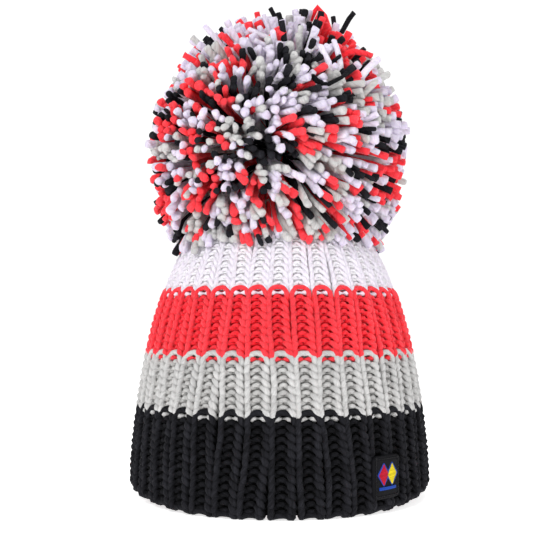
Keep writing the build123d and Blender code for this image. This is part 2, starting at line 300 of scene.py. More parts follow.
def lengthAlong(paths):
    # how far each point lies along its path, for paths of (..., points, 3)
    step = np.linalg.norm(np.diff(paths, axis=-2), axis=-1)
    return np.concatenate([np.zeros((*step.shape[:-1], 1)), np.cumsum(step, axis=-1)], -1)


def roundAt(radius, turnAngle, height):
    # places round the hat's axis
    return np.stack([radius * np.cos(turnAngle), radius * np.sin(turnAngle), height + 0 * turnAngle], -1)


def setPoints(mesh, name, values):
    mesh.attributes.new(name, "FLOAT", "POINT").data.foreach_set("value", values.astype(np.float32).ravel())


def setUv(mesh, name, values):
    mesh.uv_layers.new(name=name).data.foreach_set("uv", values.astype(np.float32).ravel())


yarnShape = {
    "flat": 1.0,  # its thickness over its width
    "rough": 0.0,
    "seed": 1,
    "bulge": 0.35,  # how far its two ends stand out, in radii
    "lobes": 0.0,
    # painted light and shade: 1 paints a tube in its own colour and less blends it to its painted recess
    # colour; the next value paints its upper side lighter and its under side darker
    "paintedLight": 1.0,
    "paintedTopLight": 0.0,
}


def tubeMesh(name, paths, radii, upward, sides, tones, **changes):
    # paths is (tubes, rings, 3) and radii (tubes, rings); a tube's thickness is measured from upward
    shape = {**yarnShape, **changes}
    tubes, rings = radii.shape
    along = unit(np.gradient(paths, axis=1))
    across = unit(np.cross(along, upward))
    over = unit(np.cross(across, along))
    angles = np.arange(sides) * 2 * math.pi / sides
    squash = np.broadcast_to(shape["flat"], (tubes, rings))[:, :, None, None]
    wide, tall = np.cos(angles)[:, None], np.sin(angles)[:, None] * squash
    ring = across[:, :, None] * wide + over[:, :, None] * tall
    size = radii[:, :, None]
    chance = np.random.default_rng(shape["seed"])
    if shape["rough"]:
        size = size * (1 + shape["rough"] * chance.standard_normal((tubes, rings, sides)))
    if shape["lobes"]:
        # the three plies part a little towards the cut end
        part = shape["lobes"] * np.linspace(0, 1, rings)[None, :, None] ** 4
        size = size * (1 + part * np.cos(3 * angles[None, None] + chance.random((tubes, 1, 1)) * 6.3))
    body = paths[:, :, None] + ring * np.broadcast_to(size, (tubes, rings, sides))[..., None]
    first = paths[:, 0] - along[:, 0] * radii[:, :1] * shape["bulge"]
    last = paths[:, -1] + along[:, -1] * radii[:, -1:] * shape["bulge"]
    perTube = rings * sides + 2
    points = np.concatenate([body.reshape(tubes, rings * sides, 3), first[:, None], last[:, None]], axis=1)
    i, j = np.meshgrid(np.arange(rings - 1), np.arange(sides), indexing="ij")
    i, j = i.ravel(), j.ravel()
    nextSide = (j + 1) % sides
    row = i * sides
    quads = np.stack([row + j, row + nextSide, row + sides + nextSide, row + sides + j], 1)
    turn = np.arange(sides)
    start = np.stack([np.full(sides, rings * sides), (turn + 1) % sides, turn], 1)
    top = (rings - 1) * sides
    end = np.stack([np.full(sides, rings * sides + 1), top + turn, top + (turn + 1) % sides], 1)
    corners = np.concatenate([quads.ravel(), start.ravel(), end.ravel()])
    sizes = np.concatenate([np.full(len(quads), 4), np.full(2 * sides, 3)])
    allCorners = (corners[None] + (np.arange(tubes) * perTube)[:, None]).ravel()
    allSizes = np.tile(sizes, tubes)
    mesh = bpy.data.meshes.new(name)
    mesh.vertices.add(tubes * perTube)
    mesh.vertices.foreach_set("co", points.astype(np.float32).ravel())
    mesh.loops.add(len(allCorners))
    mesh.loops.foreach_set("vertex_index", allCorners.astype(np.int32))
    mesh.polygons.add(len(allSizes))
    mesh.polygons.foreach_set("loop_start", (np.cumsum(allSizes) - allSizes).astype(np.int32))
    mesh.update(calc_edges=True)
    mesh.polygons.foreach_set("use_smooth", np.ones(len(allSizes), bool))
    # one UV map follows the yarn, the other gives every tube its own cell
    length = lengthAlong(paths)
    share = length / length[:, -1:]
    edge = 0.06
    quadU = np.stack([j, j + 1, j + 1, j], 1) / sides
    quadRow = np.stack([i, i, i + 1, i + 1], 1)
    capU = np.stack([turn + 0.5, turn + 1, turn], 1) / sides
    endU = np.stack([turn + 0.5, turn, turn + 1], 1) / sides
    u = np.concatenate([quadU.ravel(), capU.ravel(), endU.ravel()])
    capRow = np.tile([-1, 0, 0], sides)
    endRow = np.tile([rings, rings - 1, rings - 1], sides)
    rows = np.concatenate([quadRow.ravel(), capRow, endRow])
    padded = np.concatenate([length, length[:, -1:] + 0.002, length[:, :1] - 0.002], 1)[:, rows]
    tubeEnds = np.ones((tubes, 1)), np.zeros((tubes, 1))
    cell = np.concatenate([edge + share * (1 - 2 * edge), *tubeEnds], 1)[:, rows]
    columns = max(1, round(math.sqrt(tubes * length[:, -1].mean() / (2 * math.pi * radii.mean()))))
    lines = math.ceil(tubes / columns)
    number = np.arange(tubes)
    phase = np.random.default_rng(shape["seed"] + 7).random(tubes)
    yarnUv = np.stack([u[None] + phase[:, None], padded + phase[:, None]], -1)
    cellU = ((number % columns)[:, None] + 0.04 + 0.92 * u[None]) / columns
    cellV = ((number // columns)[:, None] + 0.02 + 0.96 * cell) / lines
    setUv(mesh, "yarn", yarnUv)
    setUv(mesh, "OFBake", np.stack([cellU, cellV], -1))
    setPoints(mesh, "tone", np.repeat(tones, perTube))
    # painted light and shade at every point, lighter on each tube's upper side and darker on its under side
    paintedLight, paintedTopLight = (np.broadcast_to(shape[key], (tubes, rings)) for key in ("paintedLight", "paintedTopLight"))
    paintedLightValues = paintedLight[:, :, None] + paintedTopLight[:, :, None] * np.sin(angles)
    paintedLightValues = np.concatenate([paintedLightValues.reshape(tubes, -1), paintedLight[:, [0, -1]]], 1)
    setPoints(mesh, "paintedLight", np.clip(paintedLightValues, 0, 1))
    return mesh


bow = {"height": 0.0065, "sharpness": 4, "top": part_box("brim_knit")[1].z}


def bowSides(mesh):
    # the soft brim bows up at its two sides, so it stands on its front and its back
    points = np.zeros(len(mesh.vertices) * 3, np.float32)
    mesh.vertices.foreach_get("co", points)
    x, y, z = points.reshape(-1, 3).T
    sideways = x / np.maximum(np.hypot(x, y), 1e-6)
    low = np.clip(1 - z / bow["top"], 0, 1)
    points[2::3] += bow["height"] * sideways ** bow["sharpness"] * low**2 * (3 - 2 * low)
    mesh.vertices.foreach_set("co", points)
    mesh.update()


def place(name, mesh, material, slot, body=None, nodes=()):
    if body == "hat":
        bowSides(mesh)
    piece = bpy.data.objects.new(name, mesh)
    bpy.context.scene.collection.objects.link(piece)
    mesh.materials.append(material)
    if body:
        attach(piece, body)
    if nodes:
        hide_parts(*nodes)
    return piece


# the hat's outline, read from the frame


def nodePoints(*names):
    clouds = []
    for name in names:
        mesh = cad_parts[name].data
        flat = np.zeros(len(mesh.vertices) * 3)
        mesh.vertices.foreach_get("co", flat)
        clouds.append(flat.reshape(-1, 3))
    return np.concatenate(clouds)


bandNodes = ["brim_knit", "grey_band_knit", "coral_band_knit", "white_crown_knit"]


def outerOutline():
    # the outer surface is convex, so its outline is the hull of all radii and heights
    cloud = nodePoints(*bandNodes)
    radius = np.hypot(cloud[:, 0], cloud[:, 1])
    pairs = sorted({(round(float(z), 6), round(float(r), 6)) for r, z in zip(radius, cloud[:, 2])})
    hull = []
    for z, r in pairs:
        while len(hull) > 1:
            (z1, r1), (z2, r2) = hull[-2], hull[-1]
            if (z2 - z1) * (r - r1) - (r2 - r1) * (z - z1) < 0:
                break
            hull.pop()
        hull.append((z, r))
    return np.array([(r, z) for z, r in hull])


def hemDepth():
    # how far inside the outer surface the hem's inner face lies
    cloud = nodePoints("brim_knit")
    radius = np.hypot(cloud[:, 0], cloud[:, 1])
    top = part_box("hem_stitching")[0].z
    near = np.abs(cloud[:, 2] - top) < 0.002
    outer = np.interp(cloud[near, 2].mean(), outline[:, 1], outline[:, 0])
    return outer - radius[near].min()


outline = outerOutline()
hem = {"depth": hemDepth(), "top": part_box("hem_stitching")[0].z}
print("hem depth", round(hem["depth"] / mm, 2), "mm, hem top", round(hem["top"] / mm, 2), "mm")


def fabricPath():
    # the whole fabric's crest line from the hem's free edge, round the fold, up the outside to the crown
    fold = hem["depth"] / 2
    wall = outline[outline[:, 1] > fold * 1.3]
    heights = np.linspace(fold, hem["top"], 24)
    outerRadius = np.interp(heights, outline[:, 1], outline[:, 0])
    inner = np.stack([outerRadius - hem["depth"], heights], 1)[::-1]
    turn = np.linspace(math.pi, 2 * math.pi, 20)[1:-1]
    middle = outerRadius[0] - fold
    round_ = np.stack([middle + fold * np.cos(turn), fold + fold * np.sin(turn)], 1)
    line = np.concatenate([inner, round_, [[outerRadius[0], fold]], wall])
    reach = np.concatenate([[0], np.cumsum(np.linalg.norm(np.diff(line, axis=0), axis=1))])
    bottom = len(inner) + len(round_) // 2
    even = np.linspace(0, reach[-1], 900)
    radius = np.interp(even, reach, line[:, 0])
    height = np.interp(even, reach, line[:, 1])
    kernel = np.ones(9) / 9
    for values in (radius, height):
        values[4:-4] = np.convolve(values, kernel, "valid")
    return {"reach": even - reach[bottom], "radius": radius, "height": height}


fabric = fabricPath()
slopeR = np.gradient(fabric["radius"], fabric["reach"])
slopeZ = np.gradient(fabric["height"], fabric["reach"])
fabric["outR"], fabric["outZ"] = slopeZ, -slopeR


def fabricValue(name, reach):
    return np.interp(reach, fabric["reach"], fabric[name])


def onFabric(turnAngle, reach, rise):
    # a place on the fabric: angle round the hat, distance along its path, height over its crest line
    radius = fabricValue("radius", reach) + rise * fabricValue("outR", reach)
    height = fabricValue("height", reach) + rise * fabricValue("outZ", reach)
    return roundAt(radius, turnAngle, height)


def fabricNormal(turnAngle, reach):
    return roundAt(fabricValue("outR", reach), turnAngle, fabricValue("outZ", reach))


def ribWidth(reach):
    return fabricValue("radius", reach) * ribTurn


def reachAtHeight(height):
    outside = fabric["reach"] > 0.005
    return float(np.interp(height, fabric["height"][outside], fabric["reach"][outside]))


# the knit

knit = {
    "ribs": 38,
    "rows": {"hem": 12, "black": 13.5, "grey": 8, "coral": 9, "white": 23, "whiteSeen": 13},
    "crownDepth": 0.33,  # how much flatter the crown's stitches are
    "narrowest": 0.0008,
    "relief": 0.225,  # the stitches' middle surface under the crest, in rib widths
    "samples": 26,
    "sides": 8,
    "bowSamples": 11,
    "bowSides": 6,
    # each point of a loop: across the rib, along it in rows, outward, and the yarn's radius
    # all but the second are in rib widths
    "loop": [
        (-0.425, -1.40, -0.085, 0.085),
        (-0.408, -0.98, 0.045, 0.108),
        (-0.396, -0.50, 0.125, 0.118),
        (-0.385, -0.02, 0.120, 0.115),
        (-0.340, 0.34, 0.040, 0.098),
        (-0.262, 0.36, -0.060, 0.080),
        (-0.165, 0.50, -0.020, 0.088),
        (-0.060, 0.64, 0.020, 0.094),
        (0.040, 0.62, 0.018, 0.093),
        (0.125, 0.46, -0.025, 0.084),
        (0.185, 0.34, 0.010, 0.088),
        (0.245, 0.16, 0.090, 0.108),
        (0.320, -0.14, 0.145, 0.124),
        (0.398, -0.48, 0.105, 0.118),
        (0.450, -0.82, -0.010, 0.098),
        (0.475, -1.15, -0.130, 0.070),
    ],
    # the loops where a colour starts stand free and round
    "topLoop": [
        (-0.430, -1.40, -0.085, 0.085),
        (-0.412, -0.90, 0.055, 0.116),
        (-0.402, -0.40, 0.125, 0.122),
        (-0.390, 0.05, 0.125, 0.110),
        (-0.330, 0.46, 0.105, 0.112),
        (-0.190, 0.78, 0.085, 0.114),
        (0.000, 0.90, 0.075, 0.114),
        (0.190, 0.78, 0.085, 0.114),
        (0.325, 0.46, 0.110, 0.113),
        (0.385, 0.05, 0.135, 0.114),
        (0.425, -0.40, 0.105, 0.120),
        (0.460, -0.82, -0.010, 0.098),
        (0.477, -1.15, -0.130, 0.070),
    ],
    # the crossed legs that show behind each loop, like a bow
    "bow": [
        (-0.29, -0.80, -0.030, 0.120),
        (-0.19, -0.80, -0.035, 0.095),
        (-0.09, -0.80, -0.060, 0.058),
        (0.00, -0.80, -0.105, 0.024),
        (0.09, -0.80, -0.060, 0.058),
        (0.19, -0.80, -0.035, 0.095),
        (0.29, -0.80, -0.030, 0.120),
    ],
    # the lowest of them show in the next colour's first row
    "edgeBow": [
        (-0.30, -0.84, 0.000, 0.135),
        (-0.21, -0.84, 0.020, 0.118),
        (-0.10, -0.84, -0.010, 0.070),
        (0.00, -0.84, -0.100, 0.022),
        (0.10, -0.84, -0.010, 0.070),
        (0.21, -0.84, 0.020, 0.118),
        (0.30, -0.84, 0.000, 0.135),
    ],
    "jitter": 0.013,
    "waver": 0.085,
}
ribTurn = 2 * math.pi / knit["ribs"]


def ribWaver(rib, reach):
    # the ribs lean a little, changing slowly round the hat
    turn = rib * ribTurn
    lean = np.sin(reach * 34 + turn * 4)
    lean = lean + 0.6 * np.sin(turn * 7 - reach * 61) + 0.35 * np.sin(turn * 13 + reach * 95)
    return knit["waver"] * lean


def hemFlatness(reach):
    # the turned-in hem is pressed flatter than the outside
    return np.interp(reach, [-0.004, 0.002], [0.62, 1.0])


def stitchPaths(shape, samples, reachOf, pitch, rng, depth=1.0):
    # reachOf and pitch are one value per row; gives every row and rib a copy of the shape
    rows, ribs, jitter = len(reachOf), knit["ribs"], knit["jitter"]
    shape = np.array(shape) * [1, 1, depth, 1]
    count = rows * ribs
    wobble = rng.normal(0, jitter, (count, *shape.shape)) * [1, 1.6, 0.7, 0.3]
    controls = shape[None] + wobble
    curve = np.einsum("sc,ncd->nsd", smoothBasis(shape.shape[0], samples), controls)
    rib = np.tile(np.arange(ribs), rows)
    origin = np.repeat(reachOf, ribs)
    step = np.repeat(pitch, ribs)
    reach = origin[:, None] + curve[..., 1] * step[:, None]
    width = ribWidth(reach)
    turnAngle = (rib[:, None] + curve[..., 0] + ribWaver(rib[:, None], reach)) * ribTurn - math.pi / 2
    rise = (curve[..., 2] - knit["relief"]) * width * hemFlatness(reach)
    radii = np.maximum(curve[..., 3] * width, knit["narrowest"])
    # painted shade and light: darker down in the ground of the knit, lighter on its crests and on the upper
    # sides of the thicker yarn
    paintedLight = (curve[..., 2] / depth + 0.08) / 0.30  # 0 down in the ground of the knit, 1 on its crests
    paintedTopLight = curve[..., 3] * 3.0
    return onFabric(turnAngle, reach, rise), radii, fabricNormal(turnAngle, reach), paintedLight, paintedTopLight


def joined(first, second):
    return [np.concatenate(pair) for pair in zip(first, second)]


def knitBand(name, colour, startReach, endReach, rows, node, seed, samples=None, sides=None, depth=1.0):
    rng = np.random.default_rng(seed)
    pitch = (endReach - startReach) / rows
    count = int(round(rows))
    origins = endReach - pitch * 0.66 - pitch * np.arange(count)[::-1]
    steps = np.full(count, pitch)
    samples = samples or knit["samples"]
    body = stitchPaths(knit["loop"], samples, origins[:-1], steps[:-1], rng, depth)
    top = stitchPaths(knit["topLoop"], samples, origins[-1:], steps[-1:], rng, depth)
    paths, radii, normals, paintedLight, paintedTopLight = joined(body, top)
    tones = rng.random(len(paths))
    lit = {"paintedLight": paintedLight, "paintedTopLight": paintedTopLight, "seed": seed}
    loops = tubeMesh(name + "Loops", paths, radii, normals, sides or knit["sides"], tones, **lit)
    body = stitchPaths(knit["bow"], knit["bowSamples"], origins[1:], steps[1:], rng, depth)
    lowest = stitchPaths(knit["edgeBow"], knit["bowSamples"], origins[:1], steps[:1], rng, depth)
    # the lowest bows are painted as lit all over (0.9), a painted light that makes them stand out pale
    lowest = (*lowest[:3], lowest[3] * 0 + 0.9, lowest[4])
    paths, radii, normals, paintedLight, paintedTopLight = joined(body, lowest)
    # the bows behind the loops get lower tones than the loops: painted shade
    tones = rng.random(len(paths)) * 0.6
    lit = {"paintedLight": paintedLight, "paintedTopLight": paintedTopLight, "seed": seed + 1}
    bows = tubeMesh(name + "Bows", paths, radii, normals, knit["bowSides"], tones, **lit)
    look = yarns[colour], yarnLook[colour]["slot"], "hat", [node]
    print(name, len(paths), "loops, each row", round(pitch / mm, 2), "mm")
    return place(name + "Loops", loops, *look), place(name + "Bows", bows, *look)


rowCount = knit["rows"]
tops = [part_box(node)[1].z for node in bandNodes]
edges = [0.0] + [reachAtHeight(top) for top in tops[:3]] + [float(fabric["reach"][-1])]
hemStart = float(fabric["reach"][0])
blackPitch = edges[1] / rowCount["black"]
hemEnds = hemStart + blackPitch, blackPitch * 0.5
brimLoops = knitBand("hem", "blackYarn", *hemEnds, rowCount["hem"], "brim_knit", 11, samples=14, sides=6)
brimLoops += knitBand("brim", "blackYarn", *edges[0:2], rowCount["black"], "brim_knit", 12)
greyLoops = knitBand("greyBand", "greyYarn", *edges[1:3], rowCount["grey"], "grey_band_knit", 13)
coralLoops = knitBand("coralBand", "coralYarn", *edges[2:4], rowCount["coral"], "coral_band_knit", 14)
# the top of the crown, under the pom pom, is knitted more coarsely
seenRows, hiddenRows = rowCount["whiteSeen"], rowCount["white"] - rowCount["whiteSeen"]
crownSplit = edges[3] + (edges[4] - edges[3]) * seenRows / rowCount["white"]
lowFinish = {"seed": 15, "samples": 22, "sides": 8, "depth": knit["crownDepth"]}
topFinish = {"seed": 16, "samples": 18, "sides": 6, "depth": knit["crownDepth"]}
crownNode = "white_crown_knit"
crownLoops = knitBand("crown", "paintedLitCrownYarn", edges[3], crownSplit, seenRows, crownNode, **lowFinish)
crownLoops += knitBand("crownTop", "paintedLitCrownYarn", crownSplit, edges[4], hiddenRows, crownNode, **topFinish)
print("knit ready")

# the cloth behind the loops

ground = {
    "perRib": 6,
    "perRow": 4,
    "depth": 0.335,  # under the crests, in rib widths
    "valley": 0.05,
    "thickness": 0.0011,
    "backRelief": 0.0009,
}


def groundMesh(name, startReach, endReach, rows, depth):
    around = knit["ribs"] * ground["perRib"]
    lines = int(rows * ground["perRow"]) + 1
    reach = np.linspace(startReach, endReach, lines)[:, None]
    across = np.arange(around)[None] / ground["perRib"]
    width = ribWidth(reach)
    valley = 0.5 - 0.5 * np.cos(across * 2 * math.pi)
    # the cloth is drawn together where it folds under
    fold = np.interp(np.abs(reach), [0.002, 0.010], [0.55, 1.0])
    flatten = hemFlatness(reach) * fold
    front = -(ground["depth"] * depth + ground["valley"] * valley) * width * flatten
    row = (reach - startReach) / (endReach - startReach) * rows
    purl = np.abs(np.sin((row + 0.25 * np.cos(across * 2 * math.pi)) * math.pi)) * (1 - 0.6 * valley)
    back = front - (ground["thickness"] + ground["backRelief"] * purl) * fold
    turnAngle = (across + ribWaver(across, reach)) * ribTurn - math.pi / 2
    everyReach = np.broadcast_to(reach, front.shape)
    faces = [onFabric(turnAngle, everyReach, rise) for rise in (front, back)]
    points = np.concatenate([face.reshape(-1, 3) for face in faces])
    i, j = np.meshgrid(np.arange(lines - 1), np.arange(around), indexing="ij")
    i, j = i.ravel(), j.ravel()
    k = (j + 1) % around
    size = lines * around
    skins = [np.stack([i * around + j, i * around + k, (i + 1) * around + k, (i + 1) * around + j], 1)]
    skins.append(skins[0][:, ::-1] + size)
    j = np.arange(around)
    k = (j + 1) % around
    last = (lines - 1) * around
    skins.append(np.stack([j, j + size, k + size, k], 1))
    skins.append(np.stack([last + k, last + k + size, last + j + size, last + j], 1))
    mesh = bpy.data.meshes.new(name)
    mesh.from_pydata(points.tolist(), [], np.concatenate(skins).tolist())
    mesh.polygons.foreach_set("use_smooth", np.ones(len(mesh.polygons), bool))
    uv = np.zeros((len(mesh.loops), 2))
    corner = np.zeros(len(mesh.loops), np.int32)
    mesh.loops.foreach_get("vertex_index", corner)
    uv[:, 0] = (corner % size) % around / 3
    uv[:, 1] = ((corner % size) // around) * 0.0011
    setUv(mesh, "yarn", uv)
    # the cloth behind the loops is painted with a low tone and wholly in the painted recess colour: painted
    # shade, and painted light for the crown's white
    setPoints(mesh, "tone", np.full(len(mesh.vertices), 0.3))
    setPoints(mesh, "paintedLight", np.zeros(len(mesh.vertices)))
    return mesh


def addGround(name, colour, startReach, endReach, rows, node, held, loops, depth=1.0):
    mesh = groundMesh(name + "Ground", startReach, endReach, rows, depth)
    piece = place(name + "Ground", mesh, yarns[colour], yarnLook[colour]["slot"], "hat", [node])


brimRows, greyRows = rowCount["hem"] + rowCount["black"], rowCount["grey"]
coralRows, whiteRows = rowCount["coral"], rowCount["white"]
addGround("brim", "blackYarn", hemStart, edges[1], brimRows, "brim_knit", "folded", brimLoops)
addGround("greyBand", "greyYarn", *edges[1:3], greyRows, "grey_band_knit", "gathered", greyLoops)
addGround("coralBand", "coralYarn", *edges[2:4], coralRows, "coral_band_knit", "gathered", coralLoops)
addGround("crown", "paintedLitCrownYarn", *edges[3:5], whiteRows, "white_crown_knit", "gathered", crownLoops, 0.85)

# the pom pom

yarnNodes = ["pompom_white_yarn", "pompom_grey_yarn", "pompom_coral_yarn", "pompom_black_yarn"]
waistLow, waistHigh = (np.array(corner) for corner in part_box("binding_cord"))
yarnLow = np.min([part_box(node)[0] for node in yarnNodes], axis=0)
yarnHigh = np.max([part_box(node)[1] for node in yarnNodes], axis=0)
ball = {"centre": (waistLow + waistHigh) / 2, "radius": (yarnHigh[0] - yarnLow[0]) / 2}
pompom = {
    "strands": 2500,
    "seed": 21,
    "lowest": -0.76,  # the height of the lowest strands' direction, for a unit ball
    "droop": 0.12,  # how much further the lowest ones reach
    "waist": 0.05,  # how much narrower the ball is below its middle
    "lump": 0.035,
    "ragged": 0.026,
    # where the strands seem to come from, left and right of the ball, in mm from its middle
    "leftFocus": (-54, 34, 4),
    "rightFocus": (-30, -44, 16),
    "topFocus": (12, -22, 20),
    "bend": 0.42,
    "clumps": 260,
    "clumpPull": (0.0, 0.15, 0.34, 0.44, 0.40, 0.24, 0.08),
    "stations": (0.0, 0.16, 0.36, 0.56, 0.74, 0.88, 1.0),
    "curl": 3.0,
    "sag": 3.0,
    "spacing": 5.5,
    "relaxing": 14,
    "patches": 1500,
    "share": {"whiteYarn": 0.33, "greyYarn": 0.20, "coralYarn": 0.255, "blackYarn": 0.215},
    "thick": {"whiteYarn": 2.35, "greyYarn": 2.25, "coralYarn": 2.25, "blackYarn": 1.95},
    "shape": {"rough": 0.028, "bulge": 0.16, "lobes": 0.10},
    "taper": (0.22, 0.36, 0.70, 0.82, 0.92, 1.08, 1.15, 1.02),
    "rings": 12,
    "sides": 10,
    "skirt": -0.42,  # strands that point lower than this rest on the crown
}
domeEye = np.array([0, 0, 0.62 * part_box("white_crown_knit")[1].z])


def clearOfCrown(points, gap):
    # pushes points out of the crown, away from a place inside the hat
    line = outline[outline[:, 1] > domeEye[2] * 0.3]
    offsets = line - [0, domeEye[2]]
    slopes = np.arctan2(offsets[:, 1], offsets[:, 0])
    order = np.argsort(slopes)
    away = points - domeEye
    flat = np.hypot(away[..., 0], away[..., 1])
    slope = np.arctan2(away[..., 2], flat)
    surface = np.interp(slope, slopes[order], np.hypot(offsets[:, 0], offsets[:, 1])[order]) + gap
    distance = np.linalg.norm(away, axis=-1)
    return domeEye + away * np.maximum(1, surface / np.maximum(distance, 1e-6))[..., None]


def spread(points, spacing, rounds):
    # neighbours closer than the spacing push each other apart
    points = points.astype(np.float32)
    for _ in range(rounds):
        square = (points**2).sum(1)
        distance = np.sqrt(np.maximum(square[:, None] + square[None] - 2 * points @ points.T, 1e-12))
        np.fill_diagonal(distance, 1)
        push = np.clip(spacing - distance, 0, None) / distance * 0.25
        points = points + points * push.sum(1)[:, None] - push @ points
    return points.astype(float)


def smoothStep(value, low, high):
    share = np.clip((value - low) / (high - low), 0, 1)
    return share * share * (3 - 2 * share)


def strandCurve(start, tips):
    # leaves the tie, swings outward and ends pointing away from its focus
    local = (tips - ball["centre"]) / mm
    right = smoothStep(local[:, 0], -34, 26)[:, None]
    top = smoothStep(local[:, 2], 24, 66)[:, None]
    behind = smoothStep(local[:, 1], -25, 40)[:, None]
    focus = np.array(pompom["leftFocus"]) * (1 - right) + np.array(pompom["rightFocus"]) * right
    focus = focus * (1 - top) + np.array(pompom["topFocus"]) * top
    focus = focus * (1 - behind) + np.array([0, 0, 6]) * behind
    heading = unit(local - focus)
    long = np.linalg.norm(tips - start, axis=1, keepdims=True)
    first = start + (unit(tips - start) * 0.7 + heading * 0.3) * long * 0.34
    second = tips - heading * long * pompom["bend"]
    t = np.array(pompom["stations"])[None, :, None]
    shares = (1 - t) ** 3, 3 * t * (1 - t) ** 2, 3 * t**2 * (1 - t), t**3
    return sum(share * point[:, None] for share, point in zip(shares, (start, first, second, tips)))


def strandControls(rng):
    count = pompom["strands"]
    k = np.arange(count) + 0.5
    up = 1 - (1 - pompom["lowest"]) * k / count
    turn = k * math.pi * (3 - math.sqrt(5))
    aim = np.stack([np.sqrt(1 - up**2) * np.cos(turn), np.sqrt(1 - up**2) * np.sin(turn), up], 1)
    aim = unit(aim + rng.normal(0, 0.022, aim.shape))
    lumps = rng.normal(0, 1, (60, 3)) * 2.6
    lumpy = np.sin(aim @ lumps.T + rng.random(60) * 6.3).sum(1) / math.sqrt(30)
    low = smoothStep(-aim[:, 2], 0.05, 0.75)
    high = smoothStep(aim[:, 2], 0.35, 0.85)
    reach = 1 + pompom["droop"] * low + pompom["lump"] * lumpy * 0.5
    reach += rng.normal(0, pompom["ragged"], count) * (0.8 + 1.2 * high)
    tips = ball["centre"] + aim * (ball["radius"] * reach)[:, None]
    tips[:, :2] *= 1 - pompom["waist"] * smoothStep(-aim[:, 2], -0.15, 0.30)[:, None]
    tips = spread(tips, pompom["spacing"] * mm, pompom["relaxing"])
    start = ball["centre"] + rng.normal(0, 1, (count, 3)) * [0.0018, 0.0018, 0.0025]
    lines = strandCurve(start, tips)
    clumpAim = unit(rng.normal(0, 1, (pompom["clumps"], 3)))
    home = clumpAim[(unit(tips - ball["centre"]) @ clumpAim.T).argmax(1)]
    homes = strandCurve(start, ball["centre"] + home * ball["radius"])
    lines += (homes - lines) * np.array(pompom["clumpPull"])[None, :, None]
    sway = rng.normal(0, 1, (count, 3))
    sway -= (sway * aim).sum(1, keepdims=True) * aim
    stations = np.array(pompom["stations"])
    swell = np.sin(stations * math.pi * 0.8)[None, :, None]
    messy = np.where(rng.random(count) < 0.05 + 0.12 * high, 2.4, 1.0)[:, None, None]
    lines += sway[:, None] * swell * messy * pompom["curl"] * mm * 0.5
    hook = rng.normal(0, 1, (count, 3)) * pompom["curl"] * mm * 0.4
    lines[:, -1] += hook * messy[:, 0]
    level = np.hypot(aim[:, 0], aim[:, 1])
    lines[..., 2] -= (level[:, None] * stations[None] ** 2.5) * pompom["sag"] * mm
    lines[:, -1] = spread(lines[:, -1], pompom["spacing"] * 0.88 * mm, 6)
    return clearOfCrown(lines, 2.6 * mm), aim


def strandRadii(size, rings, rng):
    t = np.linspace(0, 1, rings)
    # thin at the tie, and frayed wider towards the cut end
    body = np.interp(t, [0, 0.12, 0.4, 0.62, 0.75, 0.85, 0.92, 1.0], pompom["taper"])
    fray = np.clip(rng.normal(0.02, 0.10, (len(size), 1)), -0.15, 0.32)
    flare = 1 + fray * np.interp(t, [0.6, 1.0], [0, 1])[None]
    return size[:, None] * body[None] * flare * rng.normal(1, 0.03, (len(size), rings))


# a few unruly strands: colour, then places in mm from the ball's middle
strays = [
    ("blackYarn", (2, -22, 50), (5, -30, 66), (0, -33, 76), (-6, -34, 87)),
    ("blackYarn", (10, -8, 55), (11, -12, 72), (13, -15, 83), (15, -16, 92)),
    ("whiteYarn", (12, -12, 50), (15, -16, 68), (18, -18, 80), (21, -20, 90)),
    (
        "coralYarn",
        *((8, -10, 52), (14, -14, 72), (22, -16, 88), (26, -17, 93)),
        *((31, -18, 84), (35, -20, 72), (37, -22, 58)),
    ),
    ("coralYarn", (10, -20, 40), (17, -24, 62), (23, -25, 78), (27, -26, 88)),
    ("blackYarn", (36, -8, 48), (40, -10, 64), (41, -11, 76), (44, -12, 83), (50, -13, 91)),
    ("blackYarn", (32, -10, 50), (36, -12, 66), (37, -13, 78), (36, -14, 88)),
    ("coralYarn", (-8, -10, 60), (-11, -12, 74), (-13, -13, 83), (-15, -13, 91)),
    ("coralYarn", (-14, -8, 58), (-19, -10, 72), (-23, -11, 80), (-27, -11, 86)),
    ("greyYarn", (-30, -18, 44), (-41, -22, 56), (-50, -24, 64), (-57, -24, 71)),
    ("coralYarn", (-36, -24, 36), (-46, -28, 48), (-54, -29, 53), (-62, -28, 58)),
    ("whiteYarn", (-24, -30, 44), (-33, -36, 56), (-41, -38, 66), (-48, -38, 74)),
    ("coralYarn", (30, -52, 40), (38, -52, 50), (48, -50, 54), (58, -46, 52)),
    ("blackYarn", (16, -68, 44), (20, -76, 30), (30, -78, 26), (40, -74, 34)),
    ("whiteYarn", (14, -50, 34), (15, -60, 46), (21, -66, 53), (28, -66, 48), (30, -68, 36)),
    ("whiteYarn", (34, -50, 28), (37, -60, 38), (36, -62, 48), (33, -60, 58)),
    ("whiteYarn", (44, -46, 26), (50, -52, 36), (56, -50, 44), (62, -46, 50)),
    ("greyYarn", (44, -52, 18), (52, -56, 26), (60, -54, 34), (68, -48, 40)),
    ("whiteYarn", (10, -40, 52), (2, -44, 60), (-8, -46, 64), (-20, -44, 70)),
    ("whiteYarn", (18, -38, 50), (6, -46, 54), (-6, -50, 56), (-16, -52, 60)),
    ("blackYarn", (-20, -40, 40), (-28, -50, 42), (-38, -54, 42), (-48, -54, 44)),
    ("blackYarn", (2, -48, 46), (3, -56, 54), (2, -60, 62), (1, -60, 70)),
]


